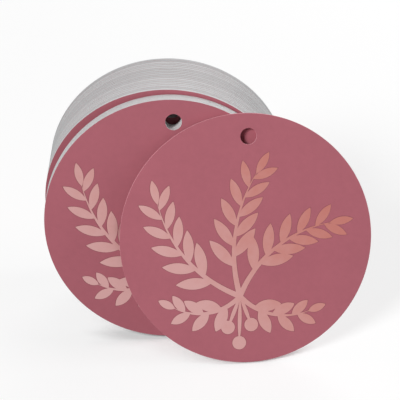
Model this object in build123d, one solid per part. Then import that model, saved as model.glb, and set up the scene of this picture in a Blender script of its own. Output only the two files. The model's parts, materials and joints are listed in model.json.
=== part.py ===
from build123d import *
import math
import os

# One tag: a round card with a punched hole near its rim
tag_diameter = 50.8
card_thickness = 0.73
hole_diameter = 3.3
hole_inset = 4.6  # rim to hole centre

# Foil film stamped on the front of each card, with the widths of its strokes
foil_thickness = 0.03
stem_width = 1.3
leaf_width = 2.6
stalk_width = 0.8
berry_diameter = 2.8

# The pack: an upright stack, tags leaning on its face and one more tag in front
stack_count = 19
leaning_count = 5
air_gap = 0.04  # foil to the back of the next card
stack_clearance = 0.25  # where the leaning tags meet the stack
rest_clearance = 0.2  # where the front tag meets the leaning tags
leaning_shift = 0.41  # sideways from the stack's middle
front_shift = 15.9
leaning_angle = 10.6
leaning_turn = 2.8
front_angle = 20.3
front_turn = 5.2
tag_roll = 2.9  # turns every hole a little to the right of the top
settling_count = 12

# Sprigs of the ornament, all from one root: chord heading from straight up, leaf pairs, and shares of
# the tag's radius for the chord, its bow to the right and the lowest leaf
root_shares = (-0.04, -0.46)
sprig_headings = (-40, 8, 52, 100, -98)
sprig_leaf_counts = (5, 5, 5, 3, 3)
sprig_length_shares = (1.06, 1.06, 0.98, 0.6, 0.56)
sprig_bow_shares = (-0.14, -0.12, -0.14, 0.1, -0.1)
sprig_leaf_shares = (0.32, 0.32, 0.31, 0.24, 0.24)
leaf_spread = 38
first_leaf_share = 0.26
leaf_stagger_share = 0.07
tip_leaf_share = 0.62
berry_headings = (-160, 180, 158)
berry_reach_shares = (0.27, 0.38, 0.25)

tag_radius = tag_diameter / 2
hole_height = tag_radius - hole_inset  # above the tag's centre
tag_pitch = card_thickness + foil_thickness + air_gap
right_angle = 90


def tag_card():
    blank = Cylinder(tag_radius, card_thickness, align=(Align.CENTER, Align.CENTER, Align.MAX))
    punch = Cylinder(hole_diameter / 2, card_thickness, align=(Align.CENTER, Align.CENTER, Align.MAX))
    return blank - Pos(0, hole_height, 0) * punch


def leaf(length, width):
    right = ThreePointArc((0, 0), (width / 2, length / 2), (0, length))
    left = ThreePointArc((0, length), (-width / 2, length / 2), (0, 0))
    return make_face([right, left])


def tapered_stem(length, bow, width):
    right = ThreePointArc((width / 2, 0), (bow + width / 4, length / 2), (0, length))
    left = ThreePointArc((0, length), (bow - width / 4, length / 2), (-width / 2, 0))
    foot = Line((-width / 2, 0), (width / 2, 0))
    return make_face([right, left, foot])


def point_on_bow(length, bow, share):
    radius = (length**2 / 4 + bow**2) / (2 * abs(bow))
    half_sweep = math.asin(length / 2 / radius)
    angle = half_sweep * (2 * share - 1)
    side = math.copysign(1, bow)
    x = side * (abs(bow) - radius + radius * math.cos(angle))
    y = length / 2 + radius * math.sin(angle)
    return x, y, side * math.degrees(angle)


def sprig(length, bow, pairs, leaf_length):
    shapes = [tapered_stem(length, bow, stem_width)]
    for side in (1, -1):
        for pair in range(pairs):
            share = first_leaf_share + (1 - first_leaf_share) * pair / pairs + side * leaf_stagger_share / 2
            x, y, heading = point_on_bow(length, bow, share)
            size = 1 - (1 - tip_leaf_share) * share
            side_leaf = leaf(leaf_length * size, leaf_width * size)
            shapes.append(Pos(x, y) * Rot(Z=heading - side * leaf_spread) * side_leaf)
    x, y, heading = point_on_bow(length, bow, 1 - leaf_stagger_share)
    tip_leaf = leaf(leaf_length * tip_leaf_share, leaf_width * tip_leaf_share)
    shapes.append(Pos(x, y) * Rot(Z=heading) * tip_leaf)
    return shapes


def berry(reach):
    stalk = leaf(reach, stalk_width)
    return [stalk, Pos(0, reach) * Circle(berry_diameter / 2)]


def tag_foil():
    shapes = []
    rows = zip(sprig_headings, sprig_leaf_counts, sprig_length_shares, sprig_bow_shares, sprig_leaf_shares)
    for heading, pairs, length, bow, leaf_length in rows:
        pieces = sprig(length * tag_radius, bow * tag_radius, pairs, leaf_length * tag_radius)
        shapes += [Rot(Z=-heading) * piece for piece in pieces]
    for heading, reach in zip(berry_headings, berry_reach_shares):
        shapes += [Rot(Z=-heading) * piece for piece in berry(reach * tag_radius)]
    ornament = Sketch() + shapes
    root = Pos(root_shares[0] * tag_radius, root_shares[1] * tag_radius)
    return extrude(root * ornament, foil_thickness)


def standing(x, y, lean=0, turn=0):
    height = tag_radius * math.cos(math.radians(lean)) + card_thickness * math.sin(math.radians(lean))
    return Pos(x, y, height) * Rot(Z=turn) * Rot(X=right_angle - lean) * Rot(Z=-tag_roll)


def stack_places():
    return [standing(0, index * tag_pitch) for index in range(stack_count)]


def resting_place(card, rest, clearance, x, lean, turn):
    y = rest.bounding_box().min.Y - tag_radius
    for _ in range(settling_count):
        place = standing(x, y, lean, turn)
        y += (place * card).distance_to(rest) - clearance
    return standing(x, y, lean, turn)


def leaning_places(card, rest):
    # the leaning tags are squared up, face to back, and the last one stands on the floor
    last = resting_place(card, rest, stack_clearance, leaning_shift, leaning_angle, leaning_turn)
    return [last * Pos(0, 0, tag_pitch * index) for index in reversed(range(leaning_count))]


def tag_places(card):
    stack = stack_places()
    leaning = leaning_places(card, stack[0] * card)
    rest = leaning[0] * card
    front = resting_place(card, rest, rest_clearance, front_shift, front_angle, front_turn)
    places = {"front_tag": front}
    places.update({f"leaning_tag_{number}": place for number, place in enumerate(leaning, 1)})
    places.update({f"stack_tag_{number:02d}": place for number, place in enumerate(stack, 1)})
    return places


def base_middle(card, places):
    boxes = [(place * card).bounding_box() for place in places.values()]
    x = (min(box.min.X for box in boxes) + max(box.max.X for box in boxes)) / 2
    y = (min(box.min.Y for box in boxes) + max(box.max.Y for box in boxes)) / 2
    return Pos(-x, -y, 0)


card = tag_card()
foil = tag_foil()
places = tag_places(card)
to_origin = base_middle(card, places)
os.makedirs("parts", exist_ok=True)
for name, place in places.items():
    export_step(to_origin * place * card, f"parts/{name}_card.step")
    export_step(to_origin * place * foil, f"parts/{name}_foil.step")
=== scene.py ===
import json
import math
import random

import bmesh
import bpy
from mathutils import Matrix, Vector

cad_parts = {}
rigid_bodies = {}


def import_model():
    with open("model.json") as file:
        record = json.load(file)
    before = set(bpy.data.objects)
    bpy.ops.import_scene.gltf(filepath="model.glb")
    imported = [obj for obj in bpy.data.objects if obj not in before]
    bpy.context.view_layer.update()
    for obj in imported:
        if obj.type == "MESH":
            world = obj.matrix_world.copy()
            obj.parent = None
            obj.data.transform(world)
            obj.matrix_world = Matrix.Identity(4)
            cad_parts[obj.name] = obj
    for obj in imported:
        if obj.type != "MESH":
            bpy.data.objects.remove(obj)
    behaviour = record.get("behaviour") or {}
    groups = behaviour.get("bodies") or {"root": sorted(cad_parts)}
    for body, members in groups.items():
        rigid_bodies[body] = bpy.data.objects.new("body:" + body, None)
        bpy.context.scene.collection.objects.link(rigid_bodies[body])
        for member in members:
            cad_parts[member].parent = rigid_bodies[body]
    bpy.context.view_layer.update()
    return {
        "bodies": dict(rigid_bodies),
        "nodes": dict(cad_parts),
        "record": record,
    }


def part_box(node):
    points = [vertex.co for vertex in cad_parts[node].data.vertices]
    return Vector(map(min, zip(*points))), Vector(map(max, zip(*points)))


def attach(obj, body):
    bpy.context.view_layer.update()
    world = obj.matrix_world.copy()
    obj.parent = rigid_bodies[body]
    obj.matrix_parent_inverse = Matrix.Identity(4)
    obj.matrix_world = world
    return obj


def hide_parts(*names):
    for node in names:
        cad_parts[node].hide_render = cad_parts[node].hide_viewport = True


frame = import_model()
scene = bpy.context.scene
scene.view_settings.view_transform = "Standard"

mm = 0.001
tagNames = list(frame["bodies"])
hangHoles = {mount["name"]: mount for mount in frame["record"]["mounts"] if mount["kind"] == "bore"}
stackLow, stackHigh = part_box("stack_tag_01_card")
tagRadius = (stackHigh.x - stackLow.x) / 2
cardThickness = stackHigh.y - stackLow.y
holeRadius = hangHoles["stack_holes"]["dims"]["r_mm"] * mm
print("frame loaded:", len(tagNames), "tags")


# a tag's own frame: x right, y towards the hang hole, z out of the printed face
def tagFrame(tag):
    group = tag.split("_")[0]
    hole = hangHoles["front_tag_hole" if group == "front" else group + "_holes"]
    normal = Vector(hole["axis"]) * (-1 if group == "stack" else 1)  # the stack's bore points backwards
    low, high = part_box(tag + "_card")
    middle = (low + high) / 2
    up = Vector(hole["pos_m"]) - middle
    up -= normal * up.dot(normal)
    reach = up.length
    up.normalize()
    turn = Matrix((up.cross(normal), up, normal)).transposed().to_4x4()
    return Matrix.Translation(middle + normal * cardThickness / 2) @ turn, reach


tagFrames = {tag: tagFrame(tag)[0] for tag in tagNames}
holeHeight = tagFrame("front_tag")[1]  # above the tag's middle


def useOnly(piece):
    bpy.ops.object.select_all(action="DESELECT")
    piece.select_set(True)
    bpy.context.view_layer.objects.active = piece


def applyModifier(piece, kind, **settings):
    useOnly(piece)
    modifier = piece.modifiers.new(kind.title(), kind)
    for name, value in settings.items():
        setattr(modifier, name, value)
    bpy.ops.object.modifier_apply(modifier=modifier.name)


def cutAway(piece, tool, selfCross=False):
    settings = {"operation": "DIFFERENCE", "solver": "EXACT", "use_self": selfCross}
    applyModifier(piece, "BOOLEAN", object=tool, **settings)
    bpy.data.objects.remove(tool)


def pick(piece, kind, test):
    bpy.ops.mesh.select_mode(type=kind)
    bpy.ops.mesh.select_all(action="DESELECT")
    mesh = bmesh.from_edit_mesh(piece.data)
    rows = {"VERT": mesh.verts, "EDGE": mesh.edges, "FACE": mesh.faces}[kind]
    for row in rows:
        row.select_set(test(row))
    bmesh.update_edit_mesh(piece.data)


# the round card: die-cut disc with a punched hole, rolled rims and a glue seam round its edge
blank = {
    "sides": 288,
    "holeSides": 56,
    "punchLength": 3,  # in card thicknesses
    "frontRoll": 0.02 * mm,
    "backRoll": 0.016 * mm,
    "rollSteps": 3,
    "rollProfile": 0.5,
    "sharpEdge": 1,  # radians between two faces
    "seamDepth": 0.018 * mm,
    "seamWidth": 0.05 * mm,
    "levelSlack": 0.001 * mm,  # how far off its level or its rim a point may be
    "rimSlack": 0.01 * mm,
}


def addDrum(radius, depth, place, sides):
    bpy.ops.object.select_all(action="DESELECT")
    bpy.ops.mesh.primitive_cylinder_add(vertices=sides, radius=radius, depth=depth, location=place)
    bpy.ops.object.transform_apply()
    return bpy.context.object


def isLevel(vert, level):
    return abs(vert.co.z - level) < blank["levelSlack"]


def modelBlank():
    middle = -cardThickness / 2
    card = addDrum(tagRadius, cardThickness, (0, 0, middle), blank["sides"])
    punchLength = blank["punchLength"] * cardThickness
    cutAway(card, addDrum(holeRadius, punchLength, (0, holeHeight, middle), blank["holeSides"]))
    useOnly(card)
    bpy.ops.object.mode_set(mode="EDIT")
    rolling = {"segments": blank["rollSteps"], "profile": blank["rollProfile"], "affect": "EDGES"}
    for level, roll in ((0, blank["frontRoll"]), (-cardThickness, blank["backRoll"])):
        pick(card, "EDGE", lambda edge: edge.calc_face_angle(0) > blank["sharpEdge"]
             and all(isLevel(vert, level) for vert in edge.verts))
        bpy.ops.mesh.bevel(offset=roll, **rolling)
    for level in (middle - blank["seamWidth"], middle + blank["seamWidth"], middle):
        bpy.ops.mesh.select_all(action="SELECT")
        bpy.ops.mesh.bisect(plane_co=(0, 0, level), plane_no=(0, 0, 1))
    pick(card, "VERT", lambda vert: isLevel(vert, middle)
         and vert.co.xy.length > tagRadius - blank["rimSlack"])
    squeeze = 1 - blank["seamDepth"] / tagRadius
    bpy.ops.transform.resize(value=(squeeze, squeeze, 1), center_override=(0, 0, middle))
    bpy.ops.object.mode_set(mode="OBJECT")
    return card


# the stamped ornament: foil film pressed into the card, with a sloping shoulder round each stroke
stamp = {
    "pressDepth": 0.055 * mm,
    "shoulder": 0.12 * mm,
    "filmThickness": 0.022 * mm,
    "dieHeight": 2,  # in press depths, so that the die stands clear of the card
    "sharpest": 0.7,  # holds the shoulder back at pointed tips
    "topFace": 0.9,  # least z of a normal on the film's top
    "weld": 0.004 * mm,
    "cleanWeld": 0.0005 * mm,
}


def filmOutline(level):
    film = frame["nodes"]["front_tag_foil"].copy()
    film.data = film.data.copy()
    film.parent = None
    scene.collection.objects.link(film)
    film.data.transform(tagFrames["front_tag"].inverted())
    useOnly(film)
    bpy.ops.object.mode_set(mode="EDIT")
    bpy.ops.mesh.select_all(action="SELECT")
    bpy.ops.mesh.remove_doubles(threshold=stamp["weld"])
    pick(film, "FACE", lambda face: face.normal.z < stamp["topFace"])
    bpy.ops.mesh.delete(type="FACE")
    bpy.ops.mesh.select_all(action="SELECT")
    bpy.ops.transform.resize(value=(1, 1, 0), center_override=(0, 0, 0))
    bpy.ops.transform.translate(value=(0, 0, level))
    bpy.ops.mesh.faces_shade_flat()
    bpy.ops.object.mode_set(mode="OBJECT")
    bpy.ops.mesh.customdata_custom_splitnormals_clear()
    return film


def outwardStep(vert):
    sides = []
    for edge in vert.link_edges:
        if edge.is_boundary:
            along = (edge.verts[1].co - edge.verts[0].co).normalized()
            side = Vector((along.y, -along.x, 0))
            inside = edge.link_faces[0].calc_center_median() - edge.verts[0].co
            sides.append(side if side.dot(inside) < 0 else -side)
    middle = (sides[0] + sides[1]).normalized()
    return middle / max(middle.dot(sides[0]), stamp["sharpest"])


def modelDie():
    die = filmOutline(-stamp["pressDepth"])
    mesh = bmesh.new()
    mesh.from_mesh(die.data)
    base = list(mesh.faces)
    rim = [edge for edge in mesh.edges if edge.is_boundary]
    edging = {vert: outwardStep(vert) for edge in rim for vert in edge.verts}
    lift = Vector((0, 0, stamp["dieHeight"] * stamp["pressDepth"]))
    lip = {}
    for vert in list(mesh.verts):
        slope = edging.get(vert, Vector()) * stamp["shoulder"] * stamp["dieHeight"]
        lip[vert] = mesh.verts.new(vert.co + slope + lift)
    for edge in rim:
        first, second = edge.verts
        mesh.faces.new((first, second, lip[second], lip[first]))
    for face in base:
        mesh.faces.new([lip[vert] for vert in face.verts])
    mesh.to_mesh(die.data)
    mesh.free()
    useOnly(die)
    bpy.ops.object.mode_set(mode="EDIT")
    bpy.ops.mesh.select_all(action="SELECT")
    bpy.ops.mesh.normals_make_consistent(inside=False)
    bpy.ops.object.mode_set(mode="OBJECT")
    return die


def modelCard():
    card = modelBlank()
    cutAway(card, modelDie(), selfCross=True)
    useOnly(card)
    bpy.ops.object.mode_set(mode="EDIT")
    bpy.ops.mesh.select_all(action="SELECT")
    bpy.ops.mesh.remove_doubles(threshold=stamp["cleanWeld"])
    bpy.ops.mesh.delete_loose()
    bpy.ops.mesh.select_all(action="SELECT")
    bpy.ops.mesh.quads_convert_to_tris(quad_method="BEAUTY", ngon_method="BEAUTY")
    bpy.ops.object.mode_set(mode="OBJECT")
    return card


def modelFilm():
    film = filmOutline(stamp["filmThickness"] - stamp["pressDepth"])
    film.data.materials.clear()
    applyModifier(film, "SOLIDIFY", thickness=stamp["filmThickness"], offset=-1)
    return film


# a face's finish, told from its place in the tag's own frame and from the z of its normal
cardFinishes = ("roseFace", "cutEdge", "pressedShoulderWithPaintedShade")
tilt = {
    "steepest": 0.3,  # a pressed shoulder lies between these two
    "slightest": 0.98,
    "rolled": 0.8,  # past this the rolled rim takes the colour of the face
    "flat": 0.9999,
}


def inHole(face):
    return (face.center.xy - Vector((0, holeHeight))).length < holeRadius + blank["frontRoll"]


def cardFinish(face):
    if inHole(face) or face.center.xy.length > tagRadius - blank["frontRoll"]:
        return "roseFace" if abs(face.normal.z) > tilt["rolled"] else "cutEdge"
    sloping = tilt["steepest"] < face.normal.z < tilt["slightest"]
    return "pressedShoulderWithPaintedShade" if sloping and face.center.z > -stamp["pressDepth"] else "roseFace"


# the map is in millimetres: across a face, or round and through a cut edge
def mapCard(mesh):
    layer = mesh.uv_layers.new(name="tagPlace")
    for face in mesh.polygons:
        finish = cardFinish(face)
        face.material_index = cardFinishes.index(finish)
        face.use_smooth = finish == "cutEdge" or tilt["rolled"] < abs(face.normal.z) < tilt["flat"]
        middle = Vector((0, holeHeight, 0)) if inHole(face) else Vector()
        radius = holeRadius if inHole(face) else tagRadius
        start = face.center - middle
        for index in face.loop_indices:
            point = mesh.vertices[mesh.loops[index].vertex_index].co
            spot = point.xy
            if finish == "cutEdge":
                swing = start.xy.angle_signed((point - middle).xy)
                spot = Vector(((math.atan2(start.x, start.y) + swing) * radius, point.z))
            layer.uv[index].vector = spot / mm


def mapFilm(mesh):
    layer = mesh.uv_layers.new(name="tagPlace")
    for loop in mesh.loops:
        layer.uv[loop.index].vector = mesh.vertices[loop.vertex_index].co.xy / mm


# shader sockets as values
class Shade:
    def __init__(self, tree, socket=None):
        self.tree = tree
        self.socket = socket

    def node(self, kind, settings=None, inputs=None, output=0):
        made = self.tree.nodes.new(kind)
        for name, value in (settings or {}).items():
            setattr(made, name, value)
        for name, value in (inputs or {}).items():
            if isinstance(value, Shade):
                self.tree.links.new(value.socket, made.inputs[name])
            else:
                made.inputs[name].default_value = value
        return Shade(self.tree, made.outputs[output] if len(made.outputs) else None)

    def reckon(self, operation, first, second):
        return self.node("ShaderNodeMath", {"operation": operation}, {0: first, 1: second})

    def __add__(self, other):
        return self.reckon("ADD", self, other)

    def __sub__(self, other):
        return self.reckon("SUBTRACT", self, other)

    def __rsub__(self, other):
        return self.reckon("SUBTRACT", other, self)

    def __mul__(self, other):
        return self.reckon("MULTIPLY", self, other)

    __radd__ = __add__
    __rmul__ = __mul__


def newFinish(name):
    material = bpy.data.materials.new(name)
    material.use_nodes = True
    material.node_tree.nodes.clear()
    return material, Shade(material.node_tree)


def grain(shade, place, size, detail, roughness=0.55):
    inputs = {"Vector": place, "Scale": 1 / size, "Detail": detail, "Roughness": roughness}
    return shade.node("ShaderNodeTexNoise", None, inputs)


def rise(shade, value, low, high):
    inputs = {"Value": value, "From Min": low, "From Max": high}
    return shade.node("ShaderNodeMapRange", {"interpolation_type": "SMOOTHSTEP"}, inputs)


def blended(first, second, share=0.5):
    return first * share + second * (1 - share)


def mixed(shade, share, first, second):
    return shade.node("ShaderNodeMix", {"data_type": "RGBA"}, {0: share, 6: first, 7: second}, 2)


def scaled(colour, factor):
    return tuple(channel * factor for channel in colour[:3]) + (1,)


def toned(shade, share, colour, swing):
    return mixed(shade, share, scaled(colour, 1 - swing), scaled(colour, 1 + swing))


def bumped(shade, height, strength, distance):
    inputs = {"Height": height, "Strength": strength, "Distance": distance}
    return shade.node("ShaderNodeBump", None, inputs)


def finishWith(shade, colour, roughness, bump, constants):
    inputs = {"Base Color": colour, "Roughness": roughness, "Normal": bump, **constants}
    surface = shade.node("ShaderNodeBsdfPrincipled", None, inputs)
    shade.node("ShaderNodeOutputMaterial", None, {"Surface": surface})


# in the finishes a noise is its size and detail, and a bump its strength and distance
rose = {
    "colour": (0.43, 0.131, 0.164, 1),
    "shade": 0.04,
    "mottle": (1.3 * mm, 5, 0.65),
    "cloud": (14 * mm, 2),
    "tooth": (0.2 * mm, 3),
    "toneRange": (0.3, 0.7),
    "worn": (0.55, 0.22, 0.25, 1),
    "wornWidth": 0.15,  # millimetres in from the rim
    "wornRange": (0.42, 0.62),
    "wornShare": 0.7,
    "toothShare": 0.7,
    "bump": (0.3, 0.02 * mm),
    "roughness": 0.84,
    "smoother": 0.16,
    "specular": 0.15,
}


def roseFinish():
    material, shade = newFinish("roseFace")
    place = shade.node("ShaderNodeTexCoord", output="Object")
    spot = shade.node("ShaderNodeUVMap", {"uv_map": "tagPlace"})
    mottle = grain(shade, place, *rose["mottle"])
    cloud = grain(shade, place, *rose["cloud"])
    tooth = grain(shade, place, *rose["tooth"])
    tone = rise(shade, blended(mottle, cloud), *rose["toneRange"])
    colour = toned(shade, tone, rose["colour"], rose["shade"])
    reach = shade.node("ShaderNodeVectorMath", {"operation": "LENGTH"}, {0: spot}, "Value")
    rim = rise(shade, reach, tagRadius / mm - rose["wornWidth"], tagRadius / mm)
    worn = rim * rise(shade, blended(tooth, mottle), *rose["wornRange"])
    colour = mixed(shade, worn * rose["wornShare"], colour, rose["worn"])
    bump = bumped(shade, blended(tooth, mottle, rose["toothShare"]), *rose["bump"])
    roughness = rose["roughness"] - tooth * rose["smoother"]
    finishWith(shade, colour, roughness, bump, {"Specular IOR Level": rose["specular"]})
    return material


pressed = {
    # darker rose on the pressed shoulders: partly the card's own darkening where the die pressed it,
    # partly painted shade in the recess round each stroke
    "colour": (0.30, 0.085, 0.105, 1),
    "shade": 0.15,
    "fibre": (0.35 * mm, 4),
    "bump": (0.2, 0.01 * mm),
    "roughness": 0.5,
    "rougher": 0.2,
    "specular": 0.4,
}


def pressedFinish():
    material, shade = newFinish("pressedShoulderWithPaintedShade")
    place = shade.node("ShaderNodeTexCoord", output="Object")
    fibre = grain(shade, place, *pressed["fibre"])
    colour = toned(shade, fibre, pressed["colour"], pressed["shade"])
    bump = bumped(shade, fibre, *pressed["bump"])
    roughness = pressed["roughness"] + fibre * pressed["rougher"]
    finishWith(shade, colour, roughness, bump, {"Specular IOR Level": pressed["specular"]})
    return material


cutEdge = {
    "pale": (0.725, 0.735, 0.735, 1),
    "grey": (0.625, 0.635, 0.64, 1),
    "darkerToneAndPaintedShade": (0.47, 0.48, 0.485, 1),
    "stain": (0.69, 0.31, 0.36, 1),
    "stretch": (0.35, 9, 1),  # draws the streaks out along the edge
    "tagShift": (31, 47, 11),  # gives each tag streaks of its own
    "streak": (1, 3),
    "streakRange": (0.3, 0.7),
    "fuzz": (0.12 * mm, 2),
    "inkDepth": 0.7,  # millimetres in from each face
    "leastInk": 0.5,
    "streakShare": 0.6,
    "bump": (0.4, 0.02 * mm),
    "roughness": 0.95,
    "smoother": 0.12,
    "specular": 0.2,
}


def edgeFinish():
    material, shade = newFinish("cutEdge")
    place = shade.node("ShaderNodeTexCoord", output="Object")
    spot = shade.node("ShaderNodeUVMap", {"uv_map": "tagPlace"})
    tag = shade.node("ShaderNodeAttribute", {"attribute_name": "tagToneAndPaintedShade"}, None, "Fac")
    bleed = shade.node("ShaderNodeAttribute", {"attribute_name": "inkBleed"}, None, "Fac")
    through = shade.node("ShaderNodeSeparateXYZ", None, {0: spot}, "Y")
    steps = {axis: tag * step for axis, step in enumerate(cutEdge["tagShift"])}
    shift = shade.node("ShaderNodeCombineXYZ", None, steps)
    plies = shade.node("ShaderNodeVectorMath", {"operation": "MULTIPLY_ADD"},
                       {0: spot, 1: cutEdge["stretch"], 2: shift})
    streak = grain(shade, plies, *cutEdge["streak"])
    fuzz = grain(shade, place, *cutEdge["fuzz"])
    colour = mixed(shade, rise(shade, streak, *cutEdge["streakRange"]), cutEdge["grey"], cutEdge["pale"])
    fromFront = rise(shade, 0 - through, 0, cutEdge["inkDepth"])
    fromBack = rise(shade, through + cardThickness / mm, 0, cutEdge["inkDepth"])
    ink = 2 - fromFront - fromBack
    # darker by each tag's tone, which differs at random, and by painted shade that grows towards the
    # back of the stack
    colour = mixed(shade, tag, colour, cutEdge["darkerToneAndPaintedShade"])
    colour = mixed(shade, ink * bleed * (fuzz + cutEdge["leastInk"]), colour, cutEdge["stain"])
    bump = bumped(shade, blended(streak, fuzz, cutEdge["streakShare"]), *cutEdge["bump"])
    roughness = cutEdge["roughness"] - fuzz * cutEdge["smoother"]
    finishWith(shade, colour, roughness, bump, {"Specular IOR Level": cutEdge["specular"]})
    return material


foil = {
    "copper": (0.515, 0.188, 0.16, 1),
    "paintedReflectionPink": (0.615, 0.348, 0.34, 1),
    "reflectionSlant": (-0.82, -0.57, 0),  # from copper to the painted reflection, paler towards the lower left
    "reflectionSlantRange": (-20, 22),  # millimetres
    "ripple": (2.2 * mm, 2),
    "rippleMiddle": 0.5,
    "rippleSwing": 14,  # millimetres along the slant
    "tooth": (0.16 * mm, 3),
    "toothShare": 0.4,
    "bump": (0.12, 0.02 * mm),
    "roughness": 0.26,
    "rougher": 0.12,
}


def foilFinish():
    material, shade = newFinish("roseGoldFilm")
    place = shade.node("ShaderNodeTexCoord", output="Object")
    spot = shade.node("ShaderNodeUVMap", {"uv_map": "tagPlace"})
    reflectionSlant = shade.node("ShaderNodeVectorMath", {"operation": "DOT_PRODUCT"},
                       {0: spot, 1: foil["reflectionSlant"]}, "Value")
    ripple = grain(shade, place, *foil["ripple"])
    tooth = grain(shade, place, *foil["tooth"])
    sway = (ripple - foil["rippleMiddle"]) * foil["rippleSwing"]
    # painted reflection: the foil turns paler pink towards the lower left of the tag, where the lit
    # reflection falls, with a noise swaying where it turns
    colour = mixed(shade, rise(shade, reflectionSlant + sway, *foil["reflectionSlantRange"]), foil["copper"], foil["paintedReflectionPink"])
    bump = bumped(shade, blended(tooth, ripple, foil["toothShare"]), *foil["bump"])
    roughness = foil["roughness"] + tooth * foil["rougher"]
    finishWith(shade, colour, roughness, bump, {"Metallic": 1})
    return material


card = modelCard()
film = modelFilm()
card.data.materials.clear()
for finish in (roseFinish(), edgeFinish(), pressedFinish()):  # in the order of cardFinishes
    card.data.materials.append(finish)
film.data.materials.append(foilFinish())
mapCard(card.data)
mapFilm(film.data)
print("tag modelled:", len(card.data.polygons), "card faces and", len(film.data.polygons), "film faces")

# cut edges: painted shade greys the stack towards its back, the stack's tags also differ a little in
# tone at random, and the front tag has taken up the most ink
edgeInkToneAndPaintedShade = {
    "seed": 25,
    "shade": 0.1,
    # painted shade: the cut edges grow darker towards the back of the stack
    "depthShade": 0.35,
    "depthSwing": 6,
    "mostSwing": 0.6,
    "ink": 0.02,
    "frontInk": 1.5,
}


def tagInkToneAndPaintedShade(tag):
    depth = int(tag[-2:]) / len(tagNames) if tag.startswith("stack") else 0
    swing = random.uniform(0, min(edgeInkToneAndPaintedShade["depthSwing"] * depth, edgeInkToneAndPaintedShade["mostSwing"]))
    return {
        "tagToneAndPaintedShade": edgeInkToneAndPaintedShade["shade"] + edgeInkToneAndPaintedShade["depthShade"] * depth + swing,
        "inkBleed": edgeInkToneAndPaintedShade["frontInk"] if tag == "front_tag" else edgeInkToneAndPaintedShade["ink"],
    }


random.seed(edgeInkToneAndPaintedShade["seed"])
for tag in tagNames:
    amounts = tagInkToneAndPaintedShade(tag)
    for source, kind, ending in ((card, "card", "blank"), (film, "foil", "film")):
        piece = source.copy()
        piece.name = tag + "_" + ending
        piece.data = source.data.copy()
        piece.data.name = piece.name
        piece.data.transform(tagFrames[tag])
        for name, amount in amounts.items():
            values = piece.data.attributes.new(name, "FLOAT", "POINT").data
            values.foreach_set("value", [amount] * len(values))
        scene.collection.objects.link(piece)
        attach(piece, tag)
        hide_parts(tag + "_" + kind)
bpy.data.objects.remove(card)
bpy.data.objects.remove(film)
print("tags placed:", len(tagNames))

# floor, light and camera
studio = {
    "floorSize": 6,
    "floorLevel": -0.02 * mm,
    "floorColour": (0.98, 0.98, 0.98, 1),
    "bounce": (0.3, 0.3, 0.3, 1),  # the floor's colour for the light that it sends on
    "white": (1, 1, 1, 1),
    "glow": 0.7,
    "contact": 9 * mm,  # the glow gives way to shade this near a tag
    "contactRange": (0.55, 0.75),
    "contactSamples": 8,
    "sky": 0.08,
}
lamps = {
    "key": {"place": (-0.43, -0.58, 0.52), "size": 0.28, "power": 6.65},
    "fill": {"place": (0.42, 0.02, 0.26), "size": 0.4, "power": 1.2},
    "back": {"place": (0.12, 0.58, 0.22), "size": 0.4, "power": 2.2},
}
viewpoint = {
    "place": (-3.734 * mm, -263.540 * mm, 178.139 * mm),
    "pitch": 29.738,
    "yaw": 0.549,
    "focal": 1480.10,
    "imageWidth": 400,
    "sensor": 36,
    "clipStart": 1 * mm,
}


# 1 for the rays that show floor and sky, 0 for the light that they send on
def shownRay(shade):
    path = shade.node("ShaderNodeLightPath")
    rays = [Shade(shade.tree, path.socket.node.outputs[name])
            for name in ("Is Camera Ray", "Is Glossy Ray", "Is Transmission Ray")]
    return shade.reckon("MINIMUM", rays[0] + rays[1] + rays[2], 1)


def layFloor():
    bpy.ops.object.select_all(action="DESELECT")
    bpy.ops.mesh.primitive_plane_add(size=studio["floorSize"], location=(0, 0, studio["floorLevel"]))
    floor = bpy.context.object
    floor.name = "studioFloor"
    material, shade = newFinish("studioPaper")
    bounce = shade.node("ShaderNodeBsdfDiffuse", None, {"Color": studio["bounce"]})
    paper = shade.node("ShaderNodeBsdfDiffuse", None, {"Color": studio["floorColour"]})
    glow = shade.node("ShaderNodeEmission", None, {"Color": studio["white"], "Strength": 1})
    nearby = shade.node("ShaderNodeAmbientOcclusion", {"samples": studio["contactSamples"]},
                        {"Distance": studio["contact"]}, "AO")
    share = rise(shade, nearby, *studio["contactRange"]) * studio["glow"]
    lit = shade.node("ShaderNodeMixShader", None, {0: share, 1: paper, 2: glow})
    surface = shade.node("ShaderNodeMixShader", None, {0: shownRay(shade), 1: bounce, 2: lit})
    shade.node("ShaderNodeOutputMaterial", None, {"Surface": surface})
    floor.data.materials.append(material)


def hangLights():
    world = bpy.data.worlds.new("studioSky")
    scene.world = world
    world.use_nodes = True
    world.node_tree.nodes.clear()
    shade = Shade(world.node_tree)
    sky = shade.node("ShaderNodeBackground", None, {"Color": studio["white"], "Strength": studio["sky"]})
    backdrop = shade.node("ShaderNodeBackground", None, {"Color": studio["white"], "Strength": 1})
    surface = shade.node("ShaderNodeMixShader", None, {0: shownRay(shade), 1: sky, 2: backdrop})
    shade.node("ShaderNodeOutputWorld", None, {"Surface": surface})
    for name, facts in lamps.items():
        bpy.ops.object.light_add(type="AREA", location=facts["place"])
        lamp = bpy.context.object
        lamp.name = name + "Light"
        lamp.data.shape = "DISK"
        lamp.data.size = facts["size"]
        lamp.data.energy = facts["power"]
        lamp.rotation_euler = (-Vector(facts["place"])).to_track_quat("-Z", "Y").to_euler()


def setCamera():
    bpy.ops.object.camera_add(location=viewpoint["place"])
    camera = bpy.context.object
    camera.rotation_euler = (math.radians(90 - viewpoint["pitch"]), 0, -math.radians(viewpoint["yaw"]))
    camera.data.sensor_width = viewpoint["sensor"]
    camera.data.lens = viewpoint["focal"] / viewpoint["imageWidth"] * viewpoint["sensor"]
    camera.data.clip_start = viewpoint["clipStart"]
    scene.camera = camera


layFloor()
hangLights()
setCamera()
print("studio set")
